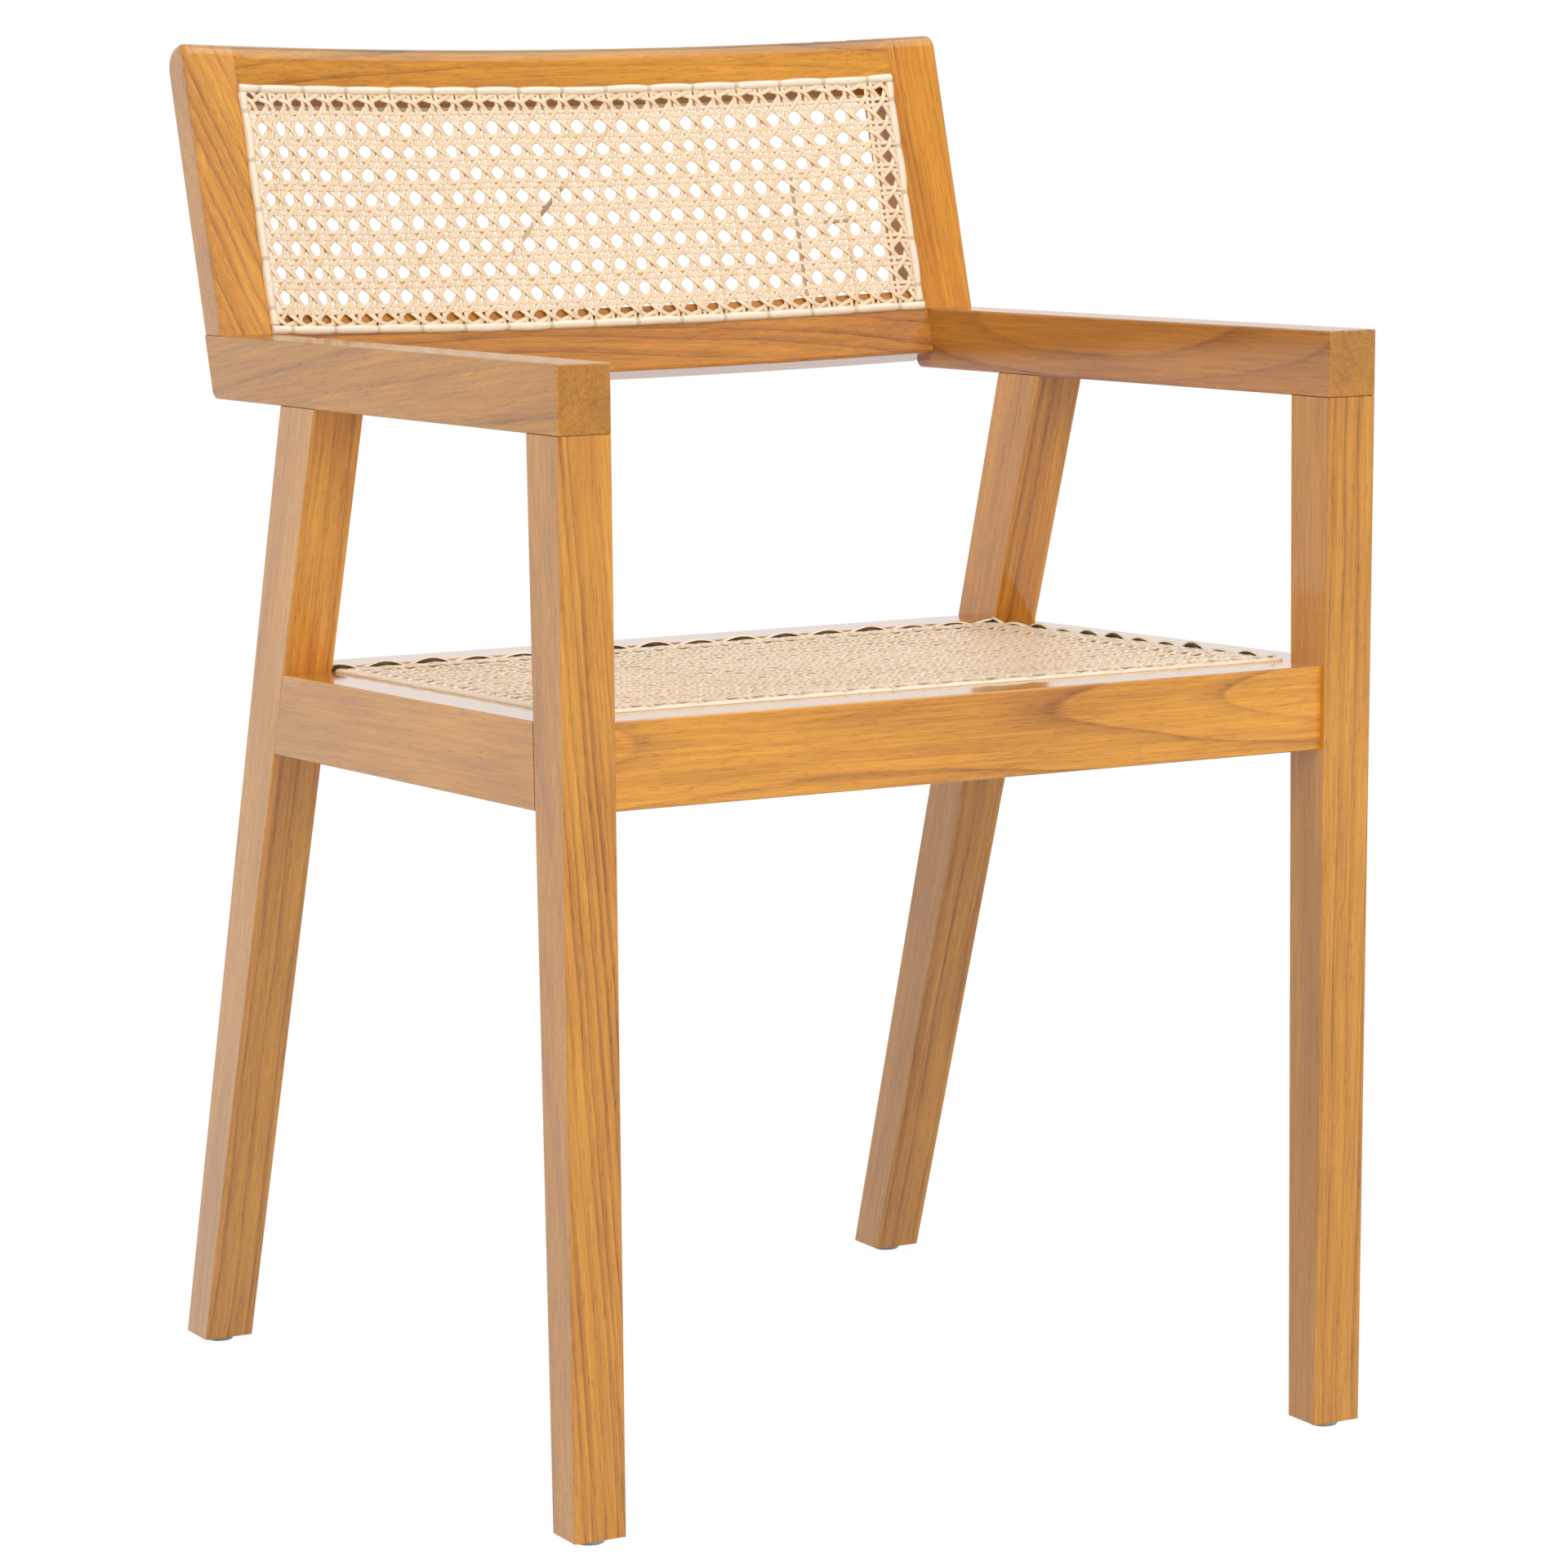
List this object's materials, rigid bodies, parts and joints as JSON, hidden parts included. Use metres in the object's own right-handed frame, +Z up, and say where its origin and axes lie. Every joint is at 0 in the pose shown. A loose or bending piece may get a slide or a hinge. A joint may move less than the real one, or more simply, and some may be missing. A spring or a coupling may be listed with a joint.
{
  "type": "dining armchair",
  "caption": "Wooden dining armchair with a woven cane seat, a low bent back with a woven cane panel, straight flat arms, upright front legs and raked back legs.",
  "frame": {"origin": "centre of the chair's outline on the floor", "axes": "+Z up, +X to the right as seen from the front, the sitter faces -Y"},
  "size_m": [0.524, 0.555, 0.8127],
  "materials": {
    "frame_wood": "oiled satin",
    "dowel_wood": "raw",
    "cane": "natural satin",
    "binding_cane": "natural satin",
    "glide": "smooth"
  },
  "bodies": {
    "root": {"back_top_rail": "frame_wood", "back_bottom_rail": "frame_wood", "seat_rail_front": "frame_wood", "seat_rail_back": "frame_wood", "front_leg_left": "frame_wood", "back_leg_left": "frame_wood", "arm_left": "frame_wood", "seat_rail_left": "frame_wood", "back_stile_left": "frame_wood", "front_leg_right": "frame_wood", "back_leg_right": "frame_wood", "arm_right": "frame_wood", "seat_rail_right": "frame_wood", "back_stile_right": "frame_wood", "arm_dowels": "dowel_wood", "seat_rail_dowels": "dowel_wood", "back_dowels": "dowel_wood", "seat_cane_panel": "cane", "back_cane_panel": "cane", "seat_binding_front": "binding_cane", "seat_binding_back": "binding_cane", "seat_binding_left": "binding_cane", "seat_binding_right": "binding_cane", "back_binding_top": "binding_cane", "back_binding_bottom": "binding_cane", "back_binding_left": "binding_cane", "back_binding_right": "binding_cane", "seat_binding_ties": "binding_cane", "back_binding_ties": "binding_cane", "glide_front_left": "glide", "glide_front_right": "glide", "glide_back_left": "glide", "glide_back_right": "glide"}
  },
  "joints": []
}
